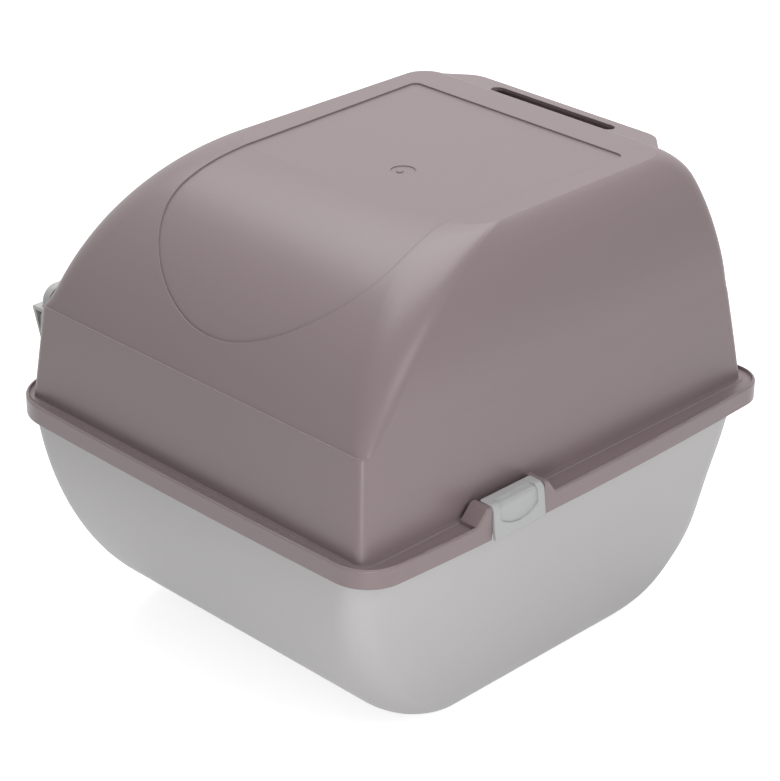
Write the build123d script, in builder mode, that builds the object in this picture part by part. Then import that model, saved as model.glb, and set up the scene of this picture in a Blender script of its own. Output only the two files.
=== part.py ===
from build123d import *
import math
import os

os.makedirs("parts", exist_ok=True)

# Roll-over sifting litter box. Millimetres, floor at Z = 0, Z up.
# Y runs along the roll axis: the cat's entrance is in the front wall (-Y), the closed wall is at +Y.
# The box is rolled over towards +X, the carry handle is at -X.

# Rim, where the cover meets the base
rim_width = 510.0  # X, at the corners
rim_depth = 456.0  # Y, at the corners
half_width = rim_width / 2
half_depth = rim_depth / 2
rim_corner_right = 37.5  # on the rolling side, at the back
rim_corner_front = 48.0  # on the rolling side, at the front
rim_corner_left = 32.0
rim_bow_x = 3.0  # how far the middle of a +X or -X side stands out
rim_bow_y = 7.7
seam_height = 210.0  # lower edge of the cover's skirt
ledge_height = seam_height + 17.5  # top of the rim
ledge_thickness = 5.1
channel_depth = 3.1  # drip channel round the rim
channel_edge = 2.4  # width of the rim's outer bead
bead_width = 5.0  # bead at the foot of the cover's wall
bead_drop = 2.3  # from the rim's top down to this bead's top
bead_corner = 14.0
bead_round = 0.6
rim_round = 1.9
wall = 3.2
seat_gap = 0.3  # between faces that rest on each other
side_gap = 0.8  # between the base's flange and the cover's skirt

# Base tub
tub_inset_x = 7.6
tub_inset_y = 17.6
tub_roll_reach = 172.0  # horizontal half axis of the rolling side
tub_roll_drop = seam_height + 1.0  # its vertical half axis
tub_left_draft = 0.156
tub_left_reach = 143.0  # half axes of the lower bend under the handle side
tub_left_drop = 95.0
tub_end_draft = 0.15
tub_end_radius = 36.0  # lower bend at the front and back
tub_corner = 22.0
tub_corner_growth = 14.0  # added to the corner radius at the floor
bend_stop = 1.0  # a lower bend runs out this far below the floor
tub_sections = 12
tub_section_spread = 2.2
flange_thickness = 3.0

# Cover
cover_height = 439.5
cover_inset_left = 14.6
cover_inset_right = 12.8
cover_inset_y = 19.1
band_height = ledge_height + 85.5  # crease on the rolling side
band_draft = 0.104
band_corner = 8.0
band_sections = 3
crease_step = 1.6  # the curved side starts this far behind the band
roll_start = half_width - 215.0  # X where the flat top turns into the curved side
hood_corner = 8.0  # at the crease
hood_corner_growth = 31.0  # added to it at the top
hood_sections = 11
left_draft = 0.147
left_top_radius = 24.0
end_draft = 0.097
end_round_drop = 105.0  # rounding between the top and the front and back walls
end_round_reach = 47.0
top_crown = 1.0  # roundings end this far above the flat top
left_corner = 5.5
left_corner_growth = 19.0
least_radius = 3.0
clear = 5.0  # how far a cutting block reaches past what it cuts
front_block_start = half_depth - 60.0  # blocks through the front wall begin this far from the middle
front_block = 80.0
rim_block = 60.0

# Sunk panel on the top, with its tongue down the curved side
panel_depth = 1.6
panel_left = 97.0 - half_width
panel_half = half_depth - 101.0  # at its left end
panel_waist = half_depth - 108.0  # where the tongue starts
panel_corner = 7.0
panel_margin = 3.0  # how far the wall behind the panel stands back round its edge
tongue_half = half_depth - 101.0
tongue_start = roll_start + 12.0
tongue_shoulder = roll_start + 88.0
tongue_tip = half_width - 41.0
sunk_low = band_height - 8.0
gate_x = 2.0
gate_y = 15.0
gate_diameter = 22.0
gate_nub = 6.5
gate_nub_x = 2.5
gate_nub_y = -1.5
gate_depth = 0.8

# Carry handle
handle_reach = 31.0 - half_width  # X of its outer edge
handle_half = half_depth - 120.0
handle_root_half = half_depth - 90.0
handle_slope = 0.075
handle_slope_start = panel_left
handle_lip = 15.0
handle_wall = 3.4
handle_block = 60.0
handle_low = 40.0  # the handle's block starts this far below the top
handle_corner_run = 32.0
handle_corner = 22.0
handle_side_corner = 14.0
handle_root = 95.0 - half_width
slot_x = 49.0 - half_width
slot_width = 15.0
slot_depth = 12.0  # from the cover's top
slot_length = 2 * handle_half - 70.0

# Finger pocket in the wall under the handle
pocket_half = handle_half - 26.0
pocket_inner = 60.0 - half_width
pocket_low = cover_height - 40.5
pocket_step = 6.0  # rise of its floor
pocket_bend = 8.0
pocket_corner = 10.0

# Entrance
door_left = -186.0
door_right = 42.0
door_bottom = ledge_height + 20.5
door_top = cover_height - 47.5
door_top_radius = 66.0
door_bottom_radius = 44.0
door_rim = 5.0  # width of the rolled edge
door_rim_height = 3.5

# Latches
latch_x = 86.0
latch_width = 61.0
latch_gap = 0.4
latch_face_y = half_depth + 6.6  # at its top
latch_lean = 3.6  # its foot stands out this much further
latch_face = 2.8
latch_height = ledge_height + 12.7
latch_back_y = half_depth - 9.4
latch_rise = 0.8
latch_plate = 2.6
latch_bend = 6.0
latch_foot = seam_height + 0.4
latch_corner = 2.0
thumb_half = latch_width / 2 - 7.7
thumb_depth = 1.7
thumb_low = latch_foot + 7.9
thumb_rise = 7.7  # of the dip's lower edge, from its middle to its ends
thumb_corner = 4.0
thumb_back = half_depth - 2.0
hump_height = ledge_height + 12.6
hump_left = latch_x - latch_width / 2 - 5.5
hump_right = latch_x + latch_width / 2 + 6.0
hump_ramp_left = 9.0
hump_ramp_right = 11.5
hump_start_y = half_depth - 13.6
hump_end_y = half_depth + 12.0
hump_round = 3.0
notch_floor = ledge_height + 9.0
pivot_y = half_depth + 0.2
pivot_z = seam_height + 4.0
pivot_boss = 3.2  # radius round the pin
pin_diameter = 3.0
pin_play = 0.05  # radial
lug_half = latch_width / 2 - 11.7
ear_width = 5.6
ear_sink = 1.0  # how far the ears run into the latch's face
pin_chamfer = 0.4

# Waste tray, its guide and its slot
tray_left = half_width - 102.5
tray_right = half_width - 29.5
tray_bottom = ledge_height + 19.4
tray_top = ledge_height + 68.5
tray_wall = 2.2
tray_corner = 4.0
tray_back = half_depth - 34.0
slide_gap = 1.0
tray_slot_corner = 1.0
guide_wall = 2.2
guide_floor = 2.5
guide_end = half_depth - 32.5
guide_inner_top = tray_top - 8.0
guide_outer_top = tray_top + 3.0
lug_y = half_depth - 78.0  # lugs on the rolling side that hold the guide's outer edge
lug_width = 16.0
lug_thickness = 4.0
lug_left = tray_right - 5.5
front_plate_margin = 4.5
front_plate = 2.6
front_plate_gap = 0.5
front_plate_corner = 4.0
grip_top_y = 6.5 - half_depth
grip_low = tray_bottom + 15.1
grip_shelf = tray_top + 7.5
grip_plate = 3.0
grip_foot = 6.0
grip_sink = 1.0
cap_height = grip_shelf + 19.0
cap_front = grip_top_y + 6.5
cap_back = grip_top_y + 17.5
cap_margin = 4.0
cap_radius = 15.0
cap_rib_count = 7
cap_rib = 1.6
cap_rib_height = 1.2
cap_rib_end = 5.5  # between a rib's end and the cap's edge
cap_round = 4.0

# Sifting grille
grille_low_x = tray_left + 3.5
grille_low_z = tray_top + 3.0
grille_high_x = roll_start + 2.0
grille_high_z = cover_height - 45.5
grille_thickness = 3.0
grille_play = 1.6
grille_rib = 6.0
grille_slot_width = 11.0
grille_slot_pitch = 15.0
grille_slot_length = 58.0
grille_end_margin = 16.0  # between the outermost slots and the narrow edge's ends
grille_row_low = 42.0
grille_row_high = 112.0
grille_corner = 8.0
grille_rib_inset = 20.0

# Screws
screw_diameter = 3.8
screw_length = 13.0
screw_head = 7.4
screw_head_height = 2.2
screw_hole = 4.3
boss_diameter = 9.6
boss_bore = 3.9
boss_length = 16.0
boss_end = 2.0  # closed end of its bore
boss_gap = 0.1
guide_boss_length = 14.0
web_sink = 1.0  # how far a boss's web runs into the wall
grille_screw_inset = 9.0
grille_screw_low = 12.0
grille_screw_high = 10.0
guide_screw_x = tray_left - 15.5
guide_screw_y = half_depth - 40.0
guide_tab = 20.0
guide_tab_corner = 5.0
screw_head_taper = 12.0
screw_cross_depth = 1.2
screw_cross_width = 1.0

ledge_under = ledge_height - ledge_thickness
flange_top = ledge_under - seat_gap
roll_drop = cover_height + top_crown - band_height
roll_reach = half_width - cover_inset_right - band_draft * (band_height - ledge_height) - crease_step - roll_start
roll_radius = (roll_reach**2 + roll_drop**2) / (2 * roll_drop)
roll_centre = cover_height + top_crown - roll_radius


def bend(height, drop, reach):
    """Sideways step of a rounding that starts at height 0 and ends flat at height drop."""
    if height <= 0:
        return 0.0
    return reach * (1 - math.sqrt(max(0.0, 1 - (height / drop) ** 2)))


def tub_section(z, inset):
    """Left X, right X, half depth and corner radii of the tub at height z."""
    roll = max(0.0, seam_height - z)
    right = half_width - tub_inset_x - inset - bend(roll, tub_roll_drop - inset, tub_roll_reach - inset)
    low = tub_left_drop - bend_stop
    left = -half_width + tub_inset_x + tub_left_draft * (seam_height - max(z, low)) + inset
    left += bend(low - z, tub_left_drop - inset, tub_left_reach - inset)
    low = tub_end_radius - bend_stop
    half = half_depth - tub_inset_y - tub_end_draft * (seam_height - max(z, low)) - inset
    half -= bend(low - z, tub_end_radius - inset, tub_end_radius - inset)
    corner = tub_corner + tub_corner_growth * max(0.0, 1 - z / seam_height) - inset
    return left, right, half, corner, corner


def cover_half_depth(z, inset):
    """Half depth of the cover at height z."""
    start = cover_height + top_crown - end_round_drop
    half = half_depth - cover_inset_y - end_draft * (z - ledge_height) - inset
    return half - bend(z - start, end_round_drop - inset, end_round_reach - inset)


def cover_section(z, inset, hood):
    """Left X, right X, half depth and corner radii of the cover at height z."""
    part = (z - ledge_height) / (cover_height - ledge_height)
    left = -half_width + cover_inset_left + left_draft * (z - ledge_height) + inset
    start = cover_height + top_crown - left_top_radius
    left += bend(z - start, left_top_radius - inset, left_top_radius - inset)
    if hood:
        radius = roll_radius - inset
        right = roll_start + math.sqrt(radius**2 - (z - roll_centre) ** 2)
        rise = (z - band_height) / (cover_height - band_height)
        corner = hood_corner + hood_corner_growth * math.sqrt(rise)
    else:
        right = half_width - cover_inset_right - band_draft * (z - ledge_height) - inset
        corner = band_corner
    left_round = max(left_corner + left_corner_growth * max(0.0, part) ** 2 - inset, least_radius)
    return left, right, cover_half_depth(z, inset), left_round, max(corner - inset, least_radius)


def rounded_face(z, left, right, half, left_round, right_round):
    """A rounded rectangle at height z, drawn from the same start at every height."""
    r, s = left_round, right_round
    k = 1 - math.sqrt(0.5)
    with BuildSketch(Plane.XY.offset(z)) as face:
        with BuildLine():
            Line((left + r, -half), (right - s, -half))
            ThreePointArc((right - s, -half), (right - k * s, -half + k * s), (right, -half + s))
            Line((right, -half + s), (right, half - s))
            ThreePointArc((right, half - s), (right - k * s, half - k * s), (right - s, half))
            Line((right - s, half), (left + r, half))
            ThreePointArc((left + r, half), (left + k * r, half - k * r), (left, half - r))
            Line((left, half - r), (left, -half + r))
            ThreePointArc((left, -half + r), (left + k * r, -half + k * r), (left + r, -half))
        make_face()
    return face.sketch


def rim_face(z, inset):
    """The rim's outline at height z, with its bowed sides, drawn in by inset."""
    x, y = half_width - inset, half_depth - inset
    with BuildSketch(Plane.XY.offset(z)) as face:
        with BuildLine():
            ThreePointArc((-x, -y), (0, -y - rim_bow_y), (x, -y))
            ThreePointArc((x, -y), (x + rim_bow_x, 0), (x, y))
            ThreePointArc((x, y), (0, y + rim_bow_y), (-x, y))
            ThreePointArc((-x, y), (-x - rim_bow_x, 0), (-x, -y))
        make_face()
        right_ends = face.vertices().sort_by(Axis.X)[-2:]
        fillet(right_ends.sort_by(Axis.Y)[0], rim_corner_front - inset)
        back_ends = face.vertices().group_by(Axis.Y)[-1]
        fillet(back_ends.sort_by(Axis.X)[-1], rim_corner_right - inset)
        fillet(face.vertices().group_by(Axis.X)[0], rim_corner_left - inset)
    return face.sketch


def tub_levels(low):
    """Heights of the tub's sections, closest together at its floor."""
    steps = [i / tub_sections for i in range(tub_sections + 1)]
    return [low + (seam_height - low) * step**tub_section_spread for step in steps]


def hood_levels(high):
    """Heights of the hood's sections, closest together at its top."""
    steps = [i / hood_sections for i in range(hood_sections + 1)]
    return [high - (high - band_height) * (1 - step) ** 2 for step in steps]


def tub_form(inset):
    """The tub's closed form up to its flange, drawn in by inset."""
    with BuildPart() as form:
        loft([rounded_face(z, *tub_section(z, inset)) for z in tub_levels(inset)])
        mouth = rounded_face(seam_height, *tub_section(seam_height, inset))
        extrude(mouth, amount=flange_top - seam_height + inset)
    return form.part


def cover_form(inset, low):
    """The cover's closed form from height low to its top, drawn in by inset."""
    band = [low + (band_height - low) * i / band_sections for i in range(band_sections + 1)]
    with BuildPart() as form:
        loft([rounded_face(z, *cover_section(z, inset, False)) for z in band])
        loft([rounded_face(z, *cover_section(z, inset, True)) for z in hood_levels(cover_height - inset)])
    return form.part


def save(part, name):
    """Labels a finished piece and writes it."""
    part.label = name
    export_step(part, f"parts/{name}.step")


# Base tub, with the flange that the cover rests on and the lugs that carry the latches
lug_top = flange_top - flange_thickness / 2
with BuildPart() as back_lug:
    with BuildSketch(Plane.YZ.offset(latch_x - lug_half)):
        with Locations((pivot_y, pivot_z)):
            Circle(pivot_boss)
        with Locations((pivot_y, (pivot_z + lug_top) / 2)):
            Rectangle(2 * pivot_boss, lug_top - pivot_z)
        with Locations((pivot_y, pivot_z)):
            Circle(pin_diameter / 2 + pin_play, mode=Mode.SUBTRACT)
    extrude(amount=2 * lug_half)

with BuildPart() as base_tub:
    add(tub_form(0))
    extrude(rim_face(flange_top - flange_thickness, wall + side_gap), amount=flange_thickness)
    add(tub_form(wall), mode=Mode.SUBTRACT)
    add(back_lug.part)
    add(mirror(back_lug.part, about=Plane.XZ))

save(base_tub.part, "base_tub")


def panel_face(margin):
    """The sunk panel's outline seen from above, with its tongue, drawn out by margin."""
    left, half, waist = panel_left - margin, panel_half + margin, panel_waist + margin
    tongue = tongue_half + margin
    reach = tongue_tip + margin - tongue_shoulder
    with BuildSketch(Plane.XY.offset(band_height)) as face:
        with BuildLine():
            Line((tongue_start, -waist), (left, -half))
            Line((left, -half), (left, half))
            Line((left, half), (tongue_start, waist))
            Spline((tongue_start, waist), (tongue_shoulder, tongue), tangents=[(1, 0), (1, 0)])
            EllipticalCenterArc((tongue_shoulder, 0), reach, tongue, start_angle=-90, arc_size=180)
            Spline((tongue_start, -waist), (tongue_shoulder, -tongue), tangents=[(1, 0), (1, 0)])
        make_face()
        fillet(face.vertices().group_by(Axis.X)[0], panel_corner)
    return face.sketch


def pocket_block(margin):
    """The finger pocket under the carry handle, drawn out by margin."""
    outer, inner, low = handle_reach + handle_wall, pocket_inner + margin, pocket_low - margin
    with BuildPart() as block:
        with BuildSketch(Plane.XZ):
            with BuildLine():
                Polyline(
                    (outer - margin, low),
                    (inner - pocket_bend, low + pocket_step),
                    (inner, low + pocket_step + pocket_bend),
                    (inner, cover_height),
                    (outer - margin, cover_height),
                    close=True,
                )
            make_face()
        extrude(amount=pocket_half + margin, both=True)
        fillet(block.edges().filter_by(Axis.Z).group_by(Axis.X)[-1], pocket_corner)
    return block.part


# Cover: closed form less inner form, then rim, handle, openings and the bosses inside
cover_outer = cover_form(0, ledge_under)
panel_height = cover_height - band_height + clear

with BuildPart() as panel_recess:
    extrude(panel_face(0), amount=panel_height)
    add(cover_form(panel_depth, sunk_low), mode=Mode.SUBTRACT)

with BuildPart() as panel_backing:
    extrude(panel_face(panel_margin), amount=panel_height)
    add(cover_form(panel_depth + wall, sunk_low), mode=Mode.SUBTRACT)

with BuildPart() as cover_space:
    add(cover_form(wall, ledge_under))
    add(panel_backing.part, mode=Mode.SUBTRACT)
    add(pocket_block(wall), mode=Mode.SUBTRACT)

with BuildPart() as handle:
    with BuildSketch(Plane.XY.offset(cover_height - handle_low)):
        with BuildLine():
            Polyline(
                (handle_root, -handle_root_half),
                (handle_reach + handle_corner_run, -handle_root_half),
                (handle_reach, -handle_half),
                (handle_reach, handle_half),
                (handle_reach + handle_corner_run, handle_root_half),
                (handle_root, handle_root_half),
                close=True,
            )
        make_face()
        fillet(vertices().group_by(Axis.X)[1], handle_side_corner)
        fillet(vertices().group_by(Axis.X)[0], handle_corner)
    extrude(amount=handle_block)
    slope_plane = Plane(
        origin=(handle_slope_start, 0, cover_height),
        x_dir=(0, 1, 0),
        z_dir=(-handle_slope, 0, 1),
    )
    split(bisect_by=slope_plane, keep=Keep.BOTTOM)
    lip_plane = Plane(
        origin=(handle_slope_start, 0, cover_height - handle_lip),
        x_dir=(0, 1, 0),
        z_dir=(-handle_slope, 0, 1),
    )
    split(bisect_by=lip_plane, keep=Keep.TOP)

with BuildPart() as handle_hollow:
    with BuildSketch(Plane.XY.offset(cover_height - handle_low)):
        with BuildLine():
            Polyline(
                (handle_root, -handle_root_half + handle_wall),
                (handle_reach + handle_corner_run, -handle_half),
                (handle_reach + handle_wall, -handle_half + handle_wall),
                (handle_reach + handle_wall, handle_half - handle_wall),
                (handle_reach + handle_corner_run, handle_half),
                (handle_root, handle_root_half - handle_wall),
                close=True,
            )
        make_face()
        fillet(vertices().group_by(Axis.X)[0], handle_side_corner)
    extrude(amount=handle_block)
    split(bisect_by=slope_plane.offset(-handle_wall), keep=Keep.BOTTOM)

with BuildPart() as finger_pocket:
    add(pocket_block(0))
    split(bisect_by=slope_plane.offset(-handle_wall), keep=Keep.BOTTOM)

with BuildPart() as entrance:
    with BuildSketch(Plane.XZ.offset(front_block_start)):
        with Locations(((door_left + door_right) / 2, (door_bottom + door_top) / 2)):
            Rectangle(door_right - door_left, door_top - door_bottom)
        fillet(vertices().group_by(Axis.Y)[-1], door_top_radius)
        fillet(vertices().group_by(Axis.Y)[0], door_bottom_radius)
    extrude(amount=front_block)

with BuildPart() as entrance_rim:
    with BuildSketch(Plane.XZ.offset(front_block_start)):
        with Locations(((door_left + door_right) / 2, (door_bottom + door_top) / 2)):
            Rectangle(door_right - door_left + 2 * door_rim, door_top - door_bottom + 2 * door_rim)
        fillet(vertices().group_by(Axis.Y)[-1], door_top_radius + door_rim)
        fillet(vertices().group_by(Axis.Y)[0], door_bottom_radius + door_rim)
    extrude(amount=front_block)
    add(entrance.part, mode=Mode.SUBTRACT)
    add(cover_form(-door_rim_height, ledge_height), mode=Mode.INTERSECT)
    add(cover_form(wall / 2, ledge_under), mode=Mode.SUBTRACT)

# The rim's raised part that each latch hooks over, on the back
with BuildPart() as hump:
    with BuildSketch(Plane.XZ.offset(-hump_end_y)):
        with BuildLine():
            Polyline(
                (hump_left - hump_ramp_left, ledge_under),
                (hump_left - hump_ramp_left, ledge_height),
                (hump_left, hump_height),
                (hump_right, hump_height),
                (hump_right + hump_ramp_right, ledge_height),
                (hump_right + hump_ramp_right, ledge_under),
                close=True,
            )
        make_face()
        fillet(vertices().group_by(Axis.Y)[-1], hump_round)
    extrude(amount=hump_end_y - hump_start_y)
    extrude(rim_face(seam_height, 0), amount=rim_block, mode=Mode.INTERSECT)
    hump_front = faces().sort_by(Axis.Y)[-1]
    fillet(hump_front.edges().filter_by(lambda e: e.center().Z > ledge_height), rim_round)

with BuildPart() as hump_hollow:
    with BuildSketch(Plane.XZ.offset(-hump_end_y)):
        with BuildLine():
            Polyline(
                (hump_left - hump_ramp_left + wall, seam_height),
                (hump_left + wall, notch_floor - wall),
                (hump_right - wall, notch_floor - wall),
                (hump_right + hump_ramp_right - wall, seam_height),
                close=True,
            )
        make_face()
    extrude(amount=hump_end_y - hump_start_y - wall)
    extrude(rim_face(seam_height, wall), amount=rim_block, mode=Mode.INTERSECT)

notch_half = latch_width / 2 + latch_gap
notch_front = latch_face_y - latch_face - latch_gap
with BuildPart() as latch_notch:
    with BuildSketch(Plane.YZ.offset(latch_x - notch_half)):
        with BuildLine():
            Polyline(
                (hump_start_y, notch_floor),
                (notch_front, notch_floor),
                (notch_front, ledge_under),
                (hump_start_y + wall, ledge_under),
                (hump_start_y + wall, seam_height - clear),
                (latch_face_y + 2 * clear, seam_height - clear),
                (latch_face_y + 2 * clear, hump_height + clear),
                (hump_start_y, hump_height + clear),
                close=True,
            )
        make_face()
    extrude(amount=2 * notch_half)

with BuildPart() as notch_wall:
    with BuildSketch(Plane.XY.offset(ledge_under)):
        with Locations((latch_x, notch_front - wall / 2)):
            Rectangle(2 * notch_half + 2 * wall, wall)
    extrude(amount=notch_floor - ledge_under)

# Slot for the waste tray in the front wall
with BuildPart() as tray_slot:
    with BuildSketch(Plane.XZ.offset(front_block_start)):
        with Locations(((tray_left + tray_right) / 2, (tray_bottom + tray_top) / 2)):
            Rectangle(tray_right - tray_left + 2 * slide_gap, tray_top - tray_bottom + 2 * slide_gap)
        fillet(vertices(), tray_slot_corner)
    extrude(amount=front_block)


def wall_boss(plane, length, web_end):
    """A screw boss standing on plane, with a web that reaches web_end along the plane's X."""
    side = math.copysign(1, web_end)
    with BuildPart() as boss:
        with BuildSketch(plane):
            Circle(boss_diameter / 2)
            with Locations((web_end / 2, 0)):
                Rectangle(abs(web_end), wall)
        extrude(amount=length)
        with BuildSketch(plane):
            Circle(boss_bore / 2)
        extrude(amount=length - boss_end, mode=Mode.SUBTRACT)
    return boss.part


# The grille's plane: X along the box's depth, Y up the grille's slope, Z towards the roll side
grille_run = math.hypot(grille_high_x - grille_low_x, grille_high_z - grille_low_z)
grille_normal = (
    (grille_high_z - grille_low_z) / grille_run,
    0,
    (grille_low_x - grille_high_x) / grille_run,
)
grille_plane = Plane(origin=(grille_low_x, 0, grille_low_z), x_dir=(0, 1, 0), z_dir=grille_normal)


def grille_height(along):
    """Height of the grille's face at a distance up its slope."""
    return grille_low_z + (grille_high_z - grille_low_z) * along / grille_run


def grille_half(along):
    """Half the grille's length at a distance up its slope, clear of the cover's walls."""
    return cover_half_depth(grille_height(along) + 2, wall) - grille_play


grille_screw_rows = (grille_screw_low, grille_run - grille_screw_high)
grille_web = grille_play + grille_screw_inset + web_sink
guide_bottom = tray_bottom - seat_gap - guide_floor
bosses = []
for along in grille_screw_rows:
    reach = grille_half(along) - grille_screw_inset
    for side in (-1, 1):
        place = grille_plane.offset(boss_gap)
        spot = Plane(place.from_local_coords((side * reach, along, 0)), x_dir=place.x_dir, z_dir=place.z_dir)
        bosses.append(wall_boss(spot, boss_length, side * grille_web))
guide_seat = guide_bottom + guide_floor
lug_right = cover_section(guide_bottom, wall, False)[1] + web_sink
for side in (-1, 1):
    spot = Plane(origin=(guide_screw_x, side * guide_screw_y, guide_seat + boss_gap), x_dir=(0, 1, 0))
    reach = cover_half_depth(guide_seat, wall) + web_sink - guide_screw_y
    bosses.append(wall_boss(spot, guide_boss_length, side * reach))

with BuildPart() as inner_bosses:
    for boss in bosses:
        add(boss)
    add(cover_form(wall / 2, ledge_under), mode=Mode.INTERSECT)

# Rim: an outer bead, a drip channel and a bead at the foot of the wall
channel_floor = ledge_height - channel_depth
foot_left, foot_right, foot_half, _, _ = cover_section(ledge_height, -bead_width, False)
with BuildPart() as bead:
    foot = rounded_face(channel_floor, foot_left, foot_right, foot_half, bead_corner, bead_corner)
    extrude(foot, amount=channel_depth - bead_drop)
    fillet(edges().group_by(Axis.Z)[-1], bead_round)

with BuildPart() as channel:
    extrude(rim_face(channel_floor, channel_edge), amount=channel_depth + clear)
    add(bead.part, mode=Mode.SUBTRACT)

with BuildPart() as rim:
    extrude(rim_face(seam_height, 0), amount=ledge_height - seam_height)
    fillet(edges().group_by(Axis.Z)[-1], rim_round)
    add(channel.part, mode=Mode.SUBTRACT)

with BuildPart() as skirt_space:
    extrude(rim_face(seam_height, wall), amount=ledge_under - seam_height)

with BuildPart() as cover_shell:
    add(cover_outer)
    add(handle.part)
    add(handle_hollow.part, mode=Mode.SUBTRACT)
    add(cover_outer)
    add(panel_recess.part, mode=Mode.SUBTRACT)
    add(rim.part)
    for ends in (hump.part, mirror(hump.part, about=Plane.XZ)):
        add(ends)
    add(entrance_rim.part)
    # Hollow out
    add(skirt_space.part, mode=Mode.SUBTRACT)
    for ends in (hump_hollow.part, mirror(hump_hollow.part, about=Plane.XZ)):
        add(ends, mode=Mode.SUBTRACT)
    add(cover_space.part, mode=Mode.SUBTRACT)
    add(finger_pocket.part, mode=Mode.SUBTRACT)
    for ends in (latch_notch.part, mirror(latch_notch.part, about=Plane.XZ)):
        add(ends, mode=Mode.SUBTRACT)
    for ends in (notch_wall.part, mirror(notch_wall.part, about=Plane.XZ)):
        add(ends)
    add(entrance.part, mode=Mode.SUBTRACT)
    add(tray_slot.part, mode=Mode.SUBTRACT)
    add(inner_bosses.part)
    with BuildSketch(Plane.XY.offset(guide_bottom - seat_gap - lug_thickness)):
        with Locations(((lug_left + lug_right) / 2, lug_y), ((lug_left + lug_right) / 2, -lug_y)):
            Rectangle(lug_right - lug_left, lug_width)
    extrude(amount=lug_thickness)
    with BuildSketch(Plane.XY.offset(cover_height - slot_depth)):
        with Locations((slot_x, 0)):
            SlotOverall(slot_length, slot_width, rotation=90)
    extrude(amount=slot_depth, mode=Mode.SUBTRACT)
    with BuildSketch(Plane.XY.offset(cover_height - panel_depth - gate_depth)):
        with Locations((gate_x, gate_y)):
            Circle(gate_diameter / 2)
        with Locations((gate_x + gate_nub_x, gate_y + gate_nub_y)):
            Circle(gate_nub / 2, mode=Mode.SUBTRACT)
    extrude(amount=panel_depth + gate_depth + clear, mode=Mode.SUBTRACT)
save(cover_shell.part, "cover_shell")

def latch_bar(sunk):
    """The latch's bent bar, with its outer faces drawn in by sunk."""
    face_y, height, back = latch_face_y - sunk, latch_height - sunk, latch_back_y
    foot_y = latch_face_y + latch_lean
    with BuildPart() as bar:
        with BuildSketch(Plane.YZ.offset(latch_x - latch_width / 2)):
            with BuildLine():
                Polyline(
                    (foot_y - sunk, latch_foot),
                    (face_y, height),
                    (back, height + latch_rise),
                    (back, latch_height + latch_rise - latch_plate),
                    (latch_face_y - latch_face, latch_height - latch_plate),
                    (foot_y - latch_face, latch_foot),
                    close=True,
                )
            make_face()
        extrude(amount=latch_width)
        bend_edge = edges().filter_by(Axis.X).sort_by(Axis.Z)[-2]
        fillet(bend_edge, latch_bend - sunk)
    return bar.part


with BuildPart() as thumb_dip:
    dip_left, dip_right = latch_x - thumb_half, latch_x + thumb_half
    dip_end = thumb_low + thumb_rise
    with BuildSketch(Plane.XZ.offset(-latch_face_y - latch_lean)):
        with BuildLine():
            Polyline(
                (dip_left, dip_end),
                (dip_left, hump_height + clear),
                (dip_right, hump_height + clear),
                (dip_right, dip_end),
            )
            ThreePointArc((dip_right, dip_end), (latch_x, thumb_low), (dip_left, dip_end))
        make_face()
        fillet(vertices().group_by(Axis.Y)[0], thumb_corner)
    extrude(amount=latch_face_y + latch_lean - thumb_back)
    add(latch_bar(thumb_depth), mode=Mode.SUBTRACT)

# Latch: a face with a plate on top that hooks over the raised rim, and two ears at its foot
ear_end = latch_face_y + latch_lean - latch_face + ear_sink
with BuildPart() as latch_back:
    add(latch_bar(0))
    top_corners = edges().filter_by(Axis.Z).group_by(Axis.Y)[0]
    fillet(top_corners, latch_corner)
    add(thumb_dip.part, mode=Mode.SUBTRACT)
    for side in (-1, 1):
        with BuildSketch(Plane.YZ.offset(latch_x + side * (lug_half + latch_gap + ear_width / 2))):
            with Locations((pivot_y, pivot_z)):
                Circle(pivot_boss)
            with Locations(((pivot_y + ear_end) / 2, pivot_z)):
                Rectangle(ear_end - pivot_y, 2 * pivot_boss)
            with Locations((pivot_y, pivot_z)):
                Circle(pin_diameter / 2 + pin_play, mode=Mode.SUBTRACT)
        extrude(amount=ear_width / 2, both=True)

with BuildPart() as latch_pin_back:
    pin_half = lug_half + latch_gap + ear_width
    with BuildSketch(Plane.YZ.offset(latch_x - pin_half)):
        with Locations((pivot_y, pivot_z)):
            Circle(pin_diameter / 2)
    extrude(amount=2 * pin_half)
    chamfer(edges().filter_by(GeomType.CIRCLE), pin_chamfer)


save(latch_back.part, "latch_back")
save(latch_pin_back.part, "latch_pin_back")
save(mirror(latch_back.part, about=Plane.XZ), "latch_front")
save(mirror(latch_pin_back.part, about=Plane.XZ), "latch_pin_front")

# Sifting grille: a slotted plate with ribs under its two ends and its upper edge
with BuildPart() as sifting_grille:
    low_half, high_half = grille_half(0), grille_half(grille_run)
    slot_room = 2 * (high_half - grille_end_margin) - grille_slot_width
    slot_count = int(slot_room / grille_slot_pitch) + 1
    with BuildSketch(grille_plane):
        with BuildLine():
            Polyline(
                (-low_half, 0),
                (low_half, 0),
                (high_half, grille_run),
                (-high_half, grille_run),
                close=True,
            )
        make_face()
        fillet(vertices(), grille_corner)
    extrude(amount=-grille_thickness)
    with BuildSketch(grille_plane.offset(-grille_thickness)):
        with Locations((0, grille_run - wall), (0, (grille_row_low + grille_row_high) / 2)):
            Rectangle(2 * (high_half - grille_rib_inset), wall)
    extrude(amount=-grille_rib)
    with BuildSketch(grille_plane):
        for row in (grille_row_low, grille_row_high):
            with Locations((0, row)):
                with GridLocations(grille_slot_pitch, 1, slot_count, 1):
                    SlotOverall(grille_slot_length, grille_slot_width, rotation=90)
    extrude(amount=-grille_thickness, mode=Mode.SUBTRACT)
    with BuildSketch(grille_plane):
        for along in grille_screw_rows:
            for side in (-1, 1):
                with Locations((side * (grille_half(along) - grille_screw_inset), along)):
                    Circle(screw_hole / 2)
    extrude(amount=-grille_thickness, mode=Mode.SUBTRACT)
save(sifting_grille.part, "sifting_grille")

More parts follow.
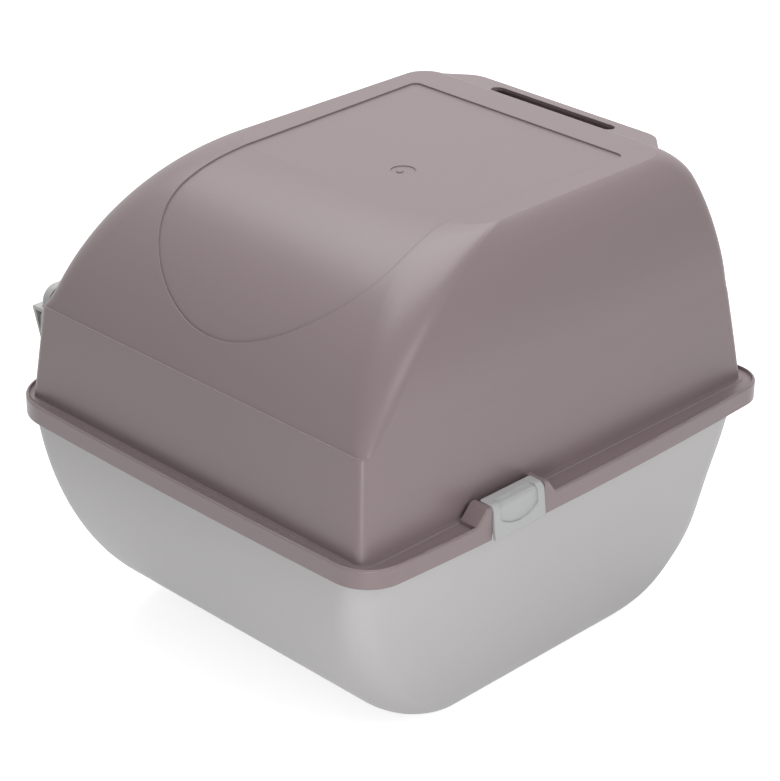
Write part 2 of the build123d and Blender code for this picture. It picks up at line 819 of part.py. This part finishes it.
# Tray guide: a trough along the rolling side, screwed to the cover by two tabs
guide_left = tray_left - slide_gap - guide_wall
guide_right = tray_right + slide_gap + guide_wall
tab_left = guide_screw_x - guide_tab / 2
tab_right = guide_left + guide_wall / 2
with BuildPart() as tray_guide:
    with BuildSketch(Plane.XZ.offset(guide_end)):
        with BuildLine():
            Polyline(
                (guide_left, guide_bottom),
                (guide_right, guide_bottom),
                (guide_right, guide_outer_top),
                (guide_right - guide_wall, guide_outer_top),
                (guide_right - guide_wall, guide_bottom + guide_floor),
                (guide_left + guide_wall, guide_bottom + guide_floor),
                (guide_left + guide_wall, guide_inner_top),
                (guide_left, guide_inner_top),
                close=True,
            )
        make_face()
    extrude(amount=-2 * guide_end)
    with BuildSketch(Plane.XY.offset(guide_bottom)):
        for side in (-1, 1):
            with Locations(((tab_left + tab_right) / 2, side * guide_screw_y)):
                Rectangle(tab_right - tab_left, guide_tab)
        fillet(vertices().group_by(Axis.X)[0], guide_tab_corner)
    extrude(amount=guide_floor)
    with BuildSketch(Plane.XY.offset(guide_bottom)):
        with Locations((guide_screw_x, guide_screw_y), (guide_screw_x, -guide_screw_y)):
            Circle(screw_hole / 2)
    extrude(amount=guide_floor, mode=Mode.SUBTRACT)
save(tray_guide.part, "tray_guide")

def front_plane(proud):
    """A plane along the cover's sloping front wall, standing proud of it."""
    origin = (0, -cover_half_depth(ledge_height, 0) - proud, ledge_height)
    return Plane(origin=origin, x_dir=(1, 0, 0), z_dir=(0, -1, end_draft))


def tray_block(inset, bottom, top, front):
    """A block along the tray's length, drawn in by inset, cut off at the front plane."""
    width = tray_right - tray_left - 2 * inset
    length = tray_back + half_depth
    with BuildPart() as block:
        with BuildSketch(Plane.XY.offset(bottom)):
            with Locations(((tray_left + tray_right) / 2, (tray_back - half_depth) / 2 - inset)):
                RectangleRounded(width, length, tray_corner - inset)
        extrude(amount=top - bottom)
        split(bisect_by=front, keep=Keep.BOTTOM)
    return block.part


plate_outer = front_plane(front_plate_gap + front_plate)
plate_inner = front_plane(front_plate_gap)
plate_low = tray_bottom - front_plate_margin
grip_low_y = -cover_half_depth(grip_low, 0) - front_plate_gap - front_plate
grip_back_y = -cover_half_depth(grip_shelf, 0) - slide_gap
tray_middle = (tray_left + tray_right) / 2
tray_width = tray_right - tray_left
plate_width = tray_width + 2 * front_plate_margin
cap_width = tray_width - 2 * cap_margin
cap_rib_pitch = (cap_width - 2 * cap_radius) / (cap_rib_count - 1)

# Waste tray: a long open drawer with a front plate, a leaning pull and a ribbed cap
with BuildPart() as waste_tray:
    with BuildSketch(Plane.XZ.offset(front_block_start)):
        with Locations((tray_middle, (plate_low + grip_shelf) / 2)):
            RectangleRounded(plate_width, grip_shelf - plate_low, front_plate_corner)
    extrude(amount=front_block)
    split(bisect_by=plate_outer, keep=Keep.BOTTOM)
    split(bisect_by=plate_inner, keep=Keep.TOP)
    add(tray_block(0, tray_bottom, tray_top, plate_outer))
    add(tray_block(tray_wall, tray_bottom + tray_wall, tray_top + clear, plate_inner), mode=Mode.SUBTRACT)
    with BuildSketch(Plane.YZ.offset(tray_left)):
        with BuildLine():
            Polyline(
                (grip_low_y + grip_sink, grip_low),
                (grip_low_y, grip_low),
                (grip_top_y, grip_shelf - grip_plate),
                (grip_top_y, grip_shelf),
                (grip_back_y, grip_shelf),
                (grip_back_y, grip_shelf - grip_plate),
                (grip_top_y + grip_plate, grip_shelf - grip_plate),
                (grip_low_y + grip_sink, grip_low + grip_foot),
                close=True,
            )
        make_face()
    extrude(amount=tray_width)
    with BuildSketch(Plane.XZ.offset(-cap_back)):
        with Locations((tray_middle, (grip_shelf - grip_sink + cap_height) / 2)):
            Rectangle(cap_width, cap_height - grip_shelf + grip_sink)
        fillet(vertices().group_by(Axis.Y)[-1], cap_radius)
    cap = extrude(amount=cap_back - cap_front)
    cap_edge = cap.faces().sort_by(Axis.Y)[0].edges().filter_by(lambda e: e.center().Z > grip_shelf)
    fillet(cap_edge, cap_round)
    with BuildSketch(Plane.XZ.offset(-cap_front - grip_sink)):
        with Locations((tray_middle, (grip_shelf + cap_height) / 2)):
            with GridLocations(cap_rib_pitch, 1, cap_rib_count, 1):
                SlotOverall(cap_height - grip_shelf - 2 * cap_rib_end, cap_rib, rotation=90)
    extrude(amount=grip_sink + cap_rib_height)
save(waste_tray.part, "waste_tray")


def screws(places):
    """Pan-head screws, each with its head's seat on the given plane and its shank along the plane's Z."""
    with BuildPart() as group:
        for place in places:
            with BuildSketch(place):
                Circle(screw_diameter / 2)
            extrude(amount=screw_length)
            with BuildSketch(place):
                Circle(screw_head / 2)
            extrude(amount=-screw_head_height, taper=screw_head_taper)
            with BuildSketch(place.offset(-screw_head_height)):
                Rectangle(screw_head / 2, screw_cross_width)
                Rectangle(screw_cross_width, screw_head / 2)
            extrude(amount=screw_cross_depth, mode=Mode.SUBTRACT)
    return group.part


grille_seats = []
for along in grille_screw_rows:
    for side in (-1, 1):
        seat = grille_plane.offset(-grille_thickness)
        spot = seat.from_local_coords((side * (grille_half(along) - grille_screw_inset), along, 0))
        grille_seats.append(Plane(spot, x_dir=seat.x_dir, z_dir=seat.z_dir))
save(screws(grille_seats), "grille_screws")
guide_seats = [Plane((guide_screw_x, side * guide_screw_y, guide_bottom)) for side in (-1, 1)]
save(screws(guide_seats), "guide_screws")
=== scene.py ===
"""Looks of a litter box that cleans itself when it is rolled over: the cover, the base, the
latches, the sifting grille, the waste tray and their screws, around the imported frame."""

import math

import bmesh
import bpy
from mathutils import Matrix, Vector

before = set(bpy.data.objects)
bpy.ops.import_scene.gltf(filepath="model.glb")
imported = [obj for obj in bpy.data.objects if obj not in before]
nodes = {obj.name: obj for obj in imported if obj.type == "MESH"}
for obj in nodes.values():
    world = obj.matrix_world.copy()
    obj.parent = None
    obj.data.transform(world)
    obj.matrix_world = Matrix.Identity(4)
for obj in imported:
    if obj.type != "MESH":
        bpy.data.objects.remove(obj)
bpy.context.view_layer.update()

# Lengths are in metres, and a scale of a pattern is in repeats per metre.

# Camera, from the photograph's angle
PHOTO_HEIGHT_PX = 781
FOCAL_PX = 2621.3
SENSOR_MM = 36
AZIMUTH_DEG = 134.65
ELEVATION_DEG = 26.975
ROLL_DEG = 0.592
DISTANCE = 2.3533
LOOK_AT = Vector((0.0014, 0.0013, 0.2209))
CLIP_END = 60

# Surroundings
FILL_STRENGTH = 0.28
WHITE_STRENGTH = 1.0
FLOOR_HALF_SIZE = 12.0
FLOOR_COLOUR = (0.82, 0.82, 0.82, 1)
FLOOR_ROUGHNESS = 0.9
FLOOR_SPECULAR = 0.1
FLOOR_GLOW = 0.72
SOFTBOXES = (
    {"name": "overhead", "place": (-0.55, -0.8, 2.8), "aim": (0, 0, 0.3),
     "width": 2.4, "height": 2.4, "watts": 58},
    {"name": "back_right", "place": (0.1, 2.4, 1.9), "aim": (0, 0, 0.25),
     "width": 1.5, "height": 1.2, "watts": 17},
    {"name": "near_corner", "place": (0.72, 0.78, 0.3), "aim": (0.22, 0.19, 0.34),
     "width": 0.14, "height": 0.44, "watts": 1.9},
)

# Where most of a noise's values lie
NOISE_LOW = 0.3
NOISE_HIGH = 0.7
NOISE_MEAN = 0.5

# Moulded plastic
PLASTIC_IOR = 1.49
COLOUR_VARIATION = 0.03
GLOSS_SWING = 0.05
GRAIN_STRENGTH = 0.35
EDGE_RADIUS = 0.0010
EDGE_SHARPNESS = 6.0
EDGE_POLISH = 0.12
EDGE_SAMPLES = 6

# Plated steel
PLATING_VARIATION = 0.12
PLATING_SPOTS = 1400.0
PLATING_GLOSSIER = 0.08
PLATING_DULLER = 0.12
PLATING_STRENGTH = 0.3
PLATING_DEPTH = 0.00005


def srgb(red, green, blue):
    """A colour written as 0 to 255, as the shader's linear colour."""

    def linear(level):
        share = level / 255
        return share / 12.92 if share <= 0.04045 else ((share + 0.055) / 1.055) ** 2.4

    return (linear(red), linear(green), linear(blue), 1.0)


def scaled(colour, factor):
    """The same colour, lighter or darker."""
    return tuple(level * factor for level in colour[:3]) + (1.0,)


# ---------------------------------------------------------------- shader nodes


def math_node(tree, operation, first, second, clamp=False):
    """One Math node. Each input is a socket or a number."""
    node = tree.nodes.new("ShaderNodeMath")
    node.operation = operation
    node.use_clamp = clamp
    for socket, value in zip(node.inputs, (first, second)):
        if isinstance(value, (int, float)):
            socket.default_value = value
        else:
            tree.links.new(value, socket)
    return node.outputs[0]


def range_node(tree, value, source=(0.0, 1.0), target=(0.0, 1.0)):
    """One Map Range node: it takes a value from the source range to the target range."""
    node = tree.nodes.new("ShaderNodeMapRange")
    for title, number in zip(("From Min", "From Max", "To Min", "To Max"), source + target):
        node.inputs[title].default_value = number
    tree.links.new(value, node.inputs["Value"])
    return node.outputs["Result"]


def noise_node(tree, place, scale, detail, roughness):
    """One Noise node on Object coordinates. The scale is a socket or a number."""
    node = tree.nodes.new("ShaderNodeTexNoise")
    node.inputs["Detail"].default_value = detail
    node.inputs["Roughness"].default_value = roughness
    if isinstance(scale, (int, float)):
        node.inputs["Scale"].default_value = scale
    else:
        tree.links.new(scale, node.inputs["Scale"])
    tree.links.new(place, node.inputs["Vector"])
    return node.outputs["Fac"]


def object_place(tree):
    """The point on the piece, in the piece's own coordinates."""
    return tree.nodes.new("ShaderNodeTexCoord").outputs["Object"]


def new_group(name, inputs, outputs):
    """An empty shader group with its sockets, and its two end nodes."""
    group = bpy.data.node_groups.new(name, "ShaderNodeTree")
    for title, kind, value in inputs:
        socket = group.interface.new_socket(title, in_out="INPUT", socket_type=kind)
        socket.default_value = value
    for title, kind in outputs:
        group.interface.new_socket(title, in_out="OUTPUT", socket_type=kind)
    return group, group.nodes.new("NodeGroupInput"), group.nodes.new("NodeGroupOutput")


def place_group(tree, group, **values):
    """One use of a shared effect, with this material's own values."""
    node = tree.nodes.new("ShaderNodeGroup")
    node.node_tree = group
    for title, value in values.items():
        node.inputs[title.replace("_", " ")].default_value = value
    return node


def new_material(name):
    """A material with its node tree and its shader."""
    material = bpy.data.materials.new(name)
    material.use_nodes = True
    return material, material.node_tree, material.node_tree.nodes["Principled BSDF"]


def bump_node(tree, height, strength, depth):
    """One Bump node of the given strength and real depth."""
    bump = tree.nodes.new("ShaderNodeBump")
    bump.inputs["Strength"].default_value = strength
    bump.inputs["Distance"].default_value = depth
    tree.links.new(height, bump.inputs["Height"])
    return bump


# ---------------------------------------------------------------- camera and stage


def place_camera():
    """The camera looks at the box as the photograph does."""
    azimuth, elevation = math.radians(AZIMUTH_DEG), math.radians(ELEVATION_DEG)
    roll = math.radians(ROLL_DEG)
    back = Vector((math.sin(azimuth) * math.cos(elevation),
                   -math.cos(azimuth) * math.cos(elevation),
                   math.sin(elevation)))
    level_right = Vector((math.cos(azimuth), math.sin(azimuth), 0))
    level_up = back.cross(level_right)
    right = level_right * math.cos(roll) + level_up * math.sin(roll)
    up = level_up * math.cos(roll) - level_right * math.sin(roll)
    data = bpy.data.cameras.new("photo_camera")
    data.sensor_width = SENSOR_MM
    data.lens = FOCAL_PX * SENSOR_MM / PHOTO_HEIGHT_PX
    data.clip_end = CLIP_END
    camera = bpy.data.objects.new("photo_camera", data)
    turn = Matrix((right, up, back)).transposed().to_4x4()
    camera.matrix_world = Matrix.Translation(LOOK_AT + back * DISTANCE) @ turn
    bpy.context.scene.collection.objects.link(camera)
    bpy.context.scene.camera = camera


def softbox(name, place, aim, width, height, watts):
    """A soft rectangular studio lamp."""
    data = bpy.data.lights.new(name, "AREA")
    data.shape = "RECTANGLE"
    data.size = width
    data.size_y = height
    data.energy = watts
    lamp = bpy.data.objects.new(name, data)
    lamp.location = place
    lamp.rotation_euler = (Vector(aim) - Vector(place)).to_track_quat("-Z", "Y").to_euler()
    bpy.context.scene.collection.objects.link(lamp)


def seen_directly(tree):
    """1 where the surface is seen straight, mirrored or through something, else 0."""
    rays = tree.nodes.new("ShaderNodeLightPath").outputs
    straight_or_mirrored = math_node(tree, "MAXIMUM", rays["Is Camera Ray"], rays["Is Glossy Ray"])
    return math_node(tree, "MAXIMUM", straight_or_mirrored, rays["Is Transmission Ray"])


def studio_world():
    """White where it is seen, and a soft even fill where it only lights."""
    world = bpy.data.worlds.new("studio")
    bpy.context.scene.world = world
    world.use_nodes = True
    tree = world.node_tree
    background = tree.nodes["Background"]
    background.inputs["Color"].default_value = (1, 1, 1, 1)
    strength = range_node(tree, seen_directly(tree), target=(FILL_STRENGTH, WHITE_STRENGTH))
    tree.links.new(strength, background.inputs["Strength"])


def studio_floor():
    """A plain pale floor that keeps the box's shadow and is white away from it."""
    mesh = bpy.data.meshes.new("studio_floor")
    build = bmesh.new()
    bmesh.ops.create_grid(build, x_segments=1, y_segments=1, size=FLOOR_HALF_SIZE)
    build.to_mesh(mesh)
    build.free()
    floor = bpy.data.objects.new("studio_floor", mesh)
    bpy.context.scene.collection.objects.link(floor)
    material, tree, shader = new_material("pale_floor")
    shader.inputs["Base Color"].default_value = FLOOR_COLOUR
    shader.inputs["Roughness"].default_value = FLOOR_ROUGHNESS
    shader.inputs["Specular IOR Level"].default_value = FLOOR_SPECULAR
    shader.inputs["Emission Color"].default_value = (1, 1, 1, 1)
    glow = range_node(tree, seen_directly(tree), target=(0.0, FLOOR_GLOW))
    tree.links.new(glow, shader.inputs["Emission Strength"])
    mesh.materials.append(material)


# ---------------------------------------------------------------- shared surface effects


def spark_grain_group():
    """The fine pitted grain that a spark-eroded mould leaves on plastic."""
    pit_smoothness, pit_share = 0.6, 0.6
    coarse_size, coarse_share = 0.45, 0.8
    group, ends_in, ends_out = new_group(
        "spark_grain",
        [("Grains per metre", "NodeSocketFloat", 900.0)],
        [("Height", "NodeSocketFloat"), ("Gloss", "NodeSocketFloat")])
    place = object_place(group)
    size = ends_in.outputs["Grains per metre"]
    pits = group.nodes.new("ShaderNodeTexVoronoi")
    pits.feature = "SMOOTH_F1"
    pits.inputs["Smoothness"].default_value = pit_smoothness
    group.links.new(place, pits.inputs["Vector"])
    group.links.new(size, pits.inputs["Scale"])
    coarse = noise_node(group, place, math_node(group, "MULTIPLY", size, coarse_size),
                        detail=3.0, roughness=0.6)
    height = math_node(group, "ADD",
                       math_node(group, "MULTIPLY", pits.outputs["Distance"], pit_share),
                       math_node(group, "MULTIPLY", coarse, coarse_share))
    group.links.new(height, ends_out.inputs["Height"])
    group.links.new(coarse, ends_out.inputs["Gloss"])
    return group


def moulding_flow_group():
    """Soft unevenness of colour from the way the melt filled the mould."""
    clouds_per_metre, cloud_share = 7.0, 0.7
    specks_per_metre, speck_share = 420.0, 0.3
    group, ends_in, ends_out = new_group(
        "moulding_flow",
        [("Colour", "NodeSocketColor", (0.5, 0.5, 0.5, 1)), ("Amount", "NodeSocketFloat", 0.04)],
        [("Colour", "NodeSocketColor")])
    place = object_place(group)
    cloud = noise_node(group, place, clouds_per_metre, detail=4.0, roughness=0.55)
    specks = noise_node(group, place, specks_per_metre, detail=2.0, roughness=0.5)
    mixed = math_node(group, "ADD", math_node(group, "MULTIPLY", cloud, cloud_share),
                      math_node(group, "MULTIPLY", specks, speck_share))
    both_ways = math_node(group, "MULTIPLY", ends_in.outputs["Amount"], 2.0)
    swing = math_node(group, "MULTIPLY", math_node(group, "SUBTRACT", mixed, NOISE_MEAN),
                      both_ways)
    tone = group.nodes.new("ShaderNodeHueSaturation")
    group.links.new(ends_in.outputs["Colour"], tone.inputs["Color"])
    group.links.new(math_node(group, "ADD", swing, 1.0), tone.inputs["Value"])
    group.links.new(tone.outputs["Color"], ends_out.inputs["Colour"])
    return group


def edge_highlight_and_polish_group():
    """Edges found by the Bevel node and broken into patches: a mask for a painted highlight and a
    polish, and a normal that rounds them.
    """
    patches_per_metre, patch_range = 90.0, (0.35, 0.7)
    group, ends_in, ends_out = new_group(
        "edge_highlight_and_polish",
        [("Radius", "NodeSocketFloat", EDGE_RADIUS),
         ("Sharpness", "NodeSocketFloat", EDGE_SHARPNESS)],
        [("Mask", "NodeSocketFloat"), ("Normal", "NodeSocketVector")])
    rounded = group.nodes.new("ShaderNodeBevel")
    rounded.samples = EDGE_SAMPLES
    group.links.new(ends_in.outputs["Radius"], rounded.inputs["Radius"])
    facing = group.nodes.new("ShaderNodeNewGeometry")
    agree = group.nodes.new("ShaderNodeVectorMath")
    agree.operation = "DOT_PRODUCT"
    group.links.new(rounded.outputs["Normal"], agree.inputs[0])
    group.links.new(facing.outputs["Normal"], agree.inputs[1])
    turned = math_node(group, "SUBTRACT", 1.0, agree.outputs["Value"])
    # The edge mask lightens the materials' colour as a painted highlight and lowers their
    # roughness as polish
    edge = math_node(group, "MULTIPLY", turned, ends_in.outputs["Sharpness"], clamp=True)
    patchy = noise_node(group, object_place(group), patches_per_metre, detail=4.0, roughness=0.65)
    broken = range_node(group, patchy, source=patch_range)
    mask = math_node(group, "MULTIPLY", edge, broken, clamp=True)
    group.links.new(mask, ends_out.inputs["Mask"])
    group.links.new(rounded.outputs["Normal"], ends_out.inputs["Normal"])
    return group


GRAIN = spark_grain_group()
FLOW = moulding_flow_group()
EDGE_HIGHLIGHT_AND_POLISH = edge_highlight_and_polish_group()


# ---------------------------------------------------------------- materials


def moulded_plastic(name, colour, roughness, grains, grain_depth, edge_highlight_tone):
    """Satin moulded polypropylene: grain, soft unevenness and slightly polished edges whose colour
    is lightened as a painted highlight.
    """
    material, tree, shader = new_material(name)
    shader.inputs["IOR"].default_value = PLASTIC_IOR
    flow = place_group(tree, FLOW, Colour=colour, Amount=COLOUR_VARIATION)
    edge_highlight_and_polish_node = place_group(tree, EDGE_HIGHLIGHT_AND_POLISH, Radius=EDGE_RADIUS)
    grain = place_group(tree, GRAIN, Grains_per_metre=grains)
    # Painted highlight: along the edge mask the colour is lightened by the edge tone
    edge_highlight_tint = tree.nodes.new("ShaderNodeMix")
    edge_highlight_tint.data_type = "RGBA"
    edge_highlight_tint.inputs["B"].default_value = scaled(colour, edge_highlight_tone)
    tree.links.new(edge_highlight_and_polish_node.outputs["Mask"], edge_highlight_tint.inputs["Factor"])
    tree.links.new(flow.outputs["Colour"], edge_highlight_tint.inputs["A"])
    tree.links.new(edge_highlight_tint.outputs["Result"], shader.inputs["Base Color"])
    gloss = range_node(tree, grain.outputs["Gloss"], source=(NOISE_LOW, NOISE_HIGH),
                       target=(roughness - GLOSS_SWING, roughness + GLOSS_SWING))
    polished = math_node(tree, "SUBTRACT", gloss,
                         math_node(tree, "MULTIPLY", edge_highlight_and_polish_node.outputs["Mask"], EDGE_POLISH),
                         clamp=True)
    tree.links.new(polished, shader.inputs["Roughness"])
    bump = bump_node(tree, grain.outputs["Height"], GRAIN_STRENGTH, grain_depth)
    tree.links.new(edge_highlight_and_polish_node.outputs["Normal"], bump.inputs["Normal"])
    tree.links.new(bump.outputs["Normal"], shader.inputs["Normal"])
    return material


def plated_steel(name, colour, roughness):
    """Zinc-plated steel wire and screws, with fine dull spots."""
    material, tree, shader = new_material(name)
    shader.inputs["Metallic"].default_value = 1.0
    flow = place_group(tree, FLOW, Colour=colour, Amount=PLATING_VARIATION)
    tree.links.new(flow.outputs["Colour"], shader.inputs["Base Color"])
    spots = noise_node(tree, object_place(tree), PLATING_SPOTS, detail=3.0, roughness=0.6)
    dull = range_node(tree, spots, source=(NOISE_LOW, NOISE_HIGH),
                      target=(roughness - PLATING_GLOSSIER, roughness + PLATING_DULLER))
    tree.links.new(dull, shader.inputs["Roughness"])
    bump = bump_node(tree, spots, PLATING_STRENGTH, PLATING_DEPTH)
    tree.links.new(bump.outputs["Normal"], shader.inputs["Normal"])
    return material


# ---------------------------------------------------------------- finishes of the pieces

COVER_TAUPE = srgb(143, 127, 129)
BASE_GREY = srgb(197, 195, 196)
LATCH_GREY = srgb(189, 190, 190)
TRAY_GREY = srgb(201, 201, 200)
GRILLE_GREY = srgb(172, 171, 170)
STEEL = srgb(178, 176, 172)

# Each plastic piece: its finish, colour and roughness, the grain of its mould in grains per
# metre and in depth, and how much its edge colour is lightened as a painted highlight
PLASTIC_FINISHES = {
    "cover_shell": ("cover_satin", COVER_TAUPE, 0.36, 1300.0, 0.00012, 1.12),
    "base_tub": ("base_satin", BASE_GREY, 0.46, 1300.0, 0.00012, 1.08),
    "latch_back": ("latch_back_satin", LATCH_GREY, 0.38, 1800.0, 0.00006, 1.08),
    "latch_front": ("latch_front_satin", LATCH_GREY, 0.38, 1800.0, 0.00006, 1.08),
    "waste_tray": ("tray_satin", TRAY_GREY, 0.4, 1500.0, 0.00008, 1.08),
    "sifting_grille": ("grille_matt", GRILLE_GREY, 0.5, 1300.0, 0.0001, 1.1),
    "tray_guide": ("guide_matt", GRILLE_GREY, 0.52, 1300.0, 0.0001, 1.1),
}

# Each steel piece: its finish, colour and roughness
STEEL_FINISHES = {
    "latch_pin_back": ("pin_back_plating", STEEL, 0.32),
    "latch_pin_front": ("pin_front_plating", STEEL, 0.32),
    "grille_screws": ("grille_screw_plating", STEEL, 0.36),
    "guide_screws": ("guide_screw_plating", STEEL, 0.36),
}

for finishes, maker in ((PLASTIC_FINISHES, moulded_plastic), (STEEL_FINISHES, plated_steel)):
    for node_name, values in finishes.items():
        finish = maker(*values)
        for slot in nodes[node_name].material_slots:
            slot.material = finish


# ---------------------------------------------------------------- light and camera

studio_world()
studio_floor()
for lamp_values in SOFTBOXES:
    softbox(**lamp_values)
place_camera()
bpy.context.scene.view_settings.view_transform = "Standard"
